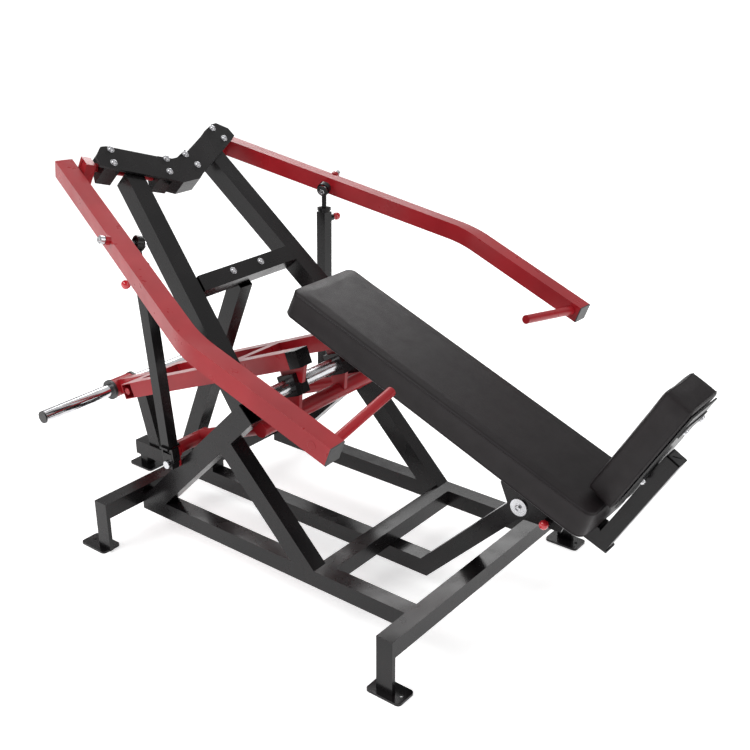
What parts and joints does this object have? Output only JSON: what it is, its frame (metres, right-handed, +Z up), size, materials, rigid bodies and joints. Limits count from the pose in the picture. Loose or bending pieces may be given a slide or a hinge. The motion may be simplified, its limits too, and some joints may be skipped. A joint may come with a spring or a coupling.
{
  "type": "incline lever press machine",
  "caption": "Plate-loaded gym press with a reclined bench, two hinged press arms, struts down to a weight lever with side loading horns, and a block seat at the low end.",
  "frame": {"origin": "on the floor under the middle of the machine's overall box", "axes": "+X from the loading horns to the seat, +Y to the left of someone lying on the bench looking at the seat, +Z up"},
  "size_m": [2.4964, 1.4616, 1.4018],
  "materials": {
    "frame_black": "gloss powder coat",
    "lever_red": "gloss powder coat",
    "bright_steel": "machined",
    "chrome_horn": "polished",
    "pad_vinyl": "satin vinyl over foam",
    "black_plastic": "moulded",
    "bumper_rubber": "matt",
    "knob_red": "gloss"
  },
  "bodies": {
    "base": {"rear_crossbeam": "frame_black", "front_crossbeam": "frame_black", "mid_crossbeam": "frame_black", "spine": "frame_black", "bench_post": "frame_black", "tower_leg_right": "frame_black", "tower_leg_left": "frame_black", "tower_crossbar": "frame_black", "rear_strut": "frame_black", "hinge_tube": "bright_steel", "rest_post": "frame_black", "rest_bumper": "bumper_rubber", "feet": "frame_black", "yoke": "frame_black", "side_rails": "frame_black", "rear_braces": "frame_black", "front_braces": "frame_black", "bearing_blocks": "frame_black", "frame_bolts": "bright_steel", "lock_bracket": "frame_black"},
    "press_arm_right": {"arm_right": "lever_red", "arm_cap_right": "black_plastic", "grip_right": "lever_red", "arm_pivot_right": "lever_red", "arm_axle_right": "bright_steel"},
    "press_arm_left": {"arm_left": "lever_red", "arm_cap_left": "black_plastic", "grip_left": "lever_red", "arm_pivot_left": "lever_red", "arm_axle_left": "bright_steel"},
    "weight_lever": {"horn_boss": "lever_red", "lever_beams": "lever_red", "lever_cross_tubes": "lever_red", "horn_collars": "black_plastic", "loading_horns": "chrome_horn", "horn_caps": "black_plastic", "lever_low_frame": "lever_red", "lever_hinge_hubs": "frame_black", "lever_webs": "lever_red", "lever_spindles": "bright_steel"},
    "cross_right": {"cross_block_right": "frame_black"},
    "cross_left": {"cross_block_left": "frame_black"},
    "strut_right": {"strut_head_right": "frame_black", "strut_body_right": "frame_black", "strut_foot_right": "frame_black"},
    "strut_left": {"strut_head_left": "frame_black", "strut_body_left": "frame_black", "strut_foot_left": "frame_black"},
    "strut_pin_right": {"pull_pin_right": "knob_red"},
    "strut_pin_left": {"pull_pin_left": "knob_red"},
    "bench": {"bench_pad": "pad_vinyl", "bench_tray": "black_plastic", "bench_keel": "frame_black", "seat_leg": "frame_black", "seat_pad": "pad_vinyl", "seat_backing": "black_plastic", "bench_lugs": "frame_black", "bench_pivot_axle": "bright_steel", "bench_bolts": "bright_steel"},
    "bench_pin": {"bench_pull_pin": "knob_red"}
  },
  "joints": [
    {"name": "arm_right_press", "type": "hinge", "parent": "base", "child": "press_arm_right", "pos_m": [-0.8627, -0.251, 1.319], "axis": [-0.2639, -0.9237, 0.2779], "range_deg": [0, 18]},
    {"name": "arm_left_press", "type": "hinge", "parent": "base", "child": "press_arm_left", "pos_m": [-0.8627, 0.251, 1.319], "axis": [0.2639, -0.9237, -0.2779], "range_deg": [0, 18]},
    {"name": "weight_lever_lift", "type": "hinge", "parent": "base", "child": "weight_lever", "pos_m": [-0.1297, 0, 0.664], "axis": [0, 1, 0], "range_deg": [0, 22.2]},
    {"name": "cross_right_turn", "type": "hinge", "parent": "weight_lever", "child": "cross_right", "pos_m": [-0.4477, -0.41, 0.38], "axis": [0, 1, 0], "range_deg": [-12.8, 0]},
    {"name": "cross_left_turn", "type": "hinge", "parent": "weight_lever", "child": "cross_left", "pos_m": [-0.4477, 0.41, 0.38], "axis": [0, 1, 0], "range_deg": [-12.8, 0]},
    {"name": "strut_right_lean", "type": "hinge", "parent": "cross_right", "child": "strut_right", "pos_m": [-0.4477, -0.41, 0.404], "axis": [-1, 0, 0], "range_deg": [0, 2.4]},
    {"name": "strut_left_lean", "type": "hinge", "parent": "cross_left", "child": "strut_left", "pos_m": [-0.4477, 0.41, 0.404], "axis": [1, 0, 0], "range_deg": [0, 2.4]},
    {"name": "strut_pin_right_pull", "type": "slide", "parent": "strut_right", "child": "strut_pin_right", "axis": [0.0018, -0.9984, -0.0571], "range_m": [0, 0.012], "stiffness_N_per_m": 400},
    {"name": "strut_pin_left_pull", "type": "slide", "parent": "strut_left", "child": "strut_pin_left", "axis": [0.0018, 0.9984, -0.0571], "range_m": [0, 0.012], "stiffness_N_per_m": 400},
    {"name": "bench_tilt", "type": "hinge", "parent": "base", "child": "bench", "pos_m": [0.7223, 0, 0.452], "axis": [0, 1, 0], "range_deg": [0, 5]},
    {"name": "bench_pin_pull", "type": "slide", "parent": "bench", "child": "bench_pin", "axis": [0, -1, 0], "range_m": [0, 0.012], "stiffness_N_per_m": 400}
  ],
  "couplings": [
    {"joint": "arm_left_press", "follows": "arm_right_press", "ratio": 1},
    {"joint": "weight_lever_lift", "follows": "arm_right_press", "ratio": 1.2227},
    {"joint": "cross_right_turn", "follows": "arm_right_press", "ratio": -0.7012},
    {"joint": "cross_left_turn", "follows": "arm_right_press", "ratio": -0.7012},
    {"joint": "strut_right_lean", "follows": "arm_right_press", "ratio": 0.1257},
    {"joint": "strut_left_lean", "follows": "arm_right_press", "ratio": 0.1257}
  ]
}
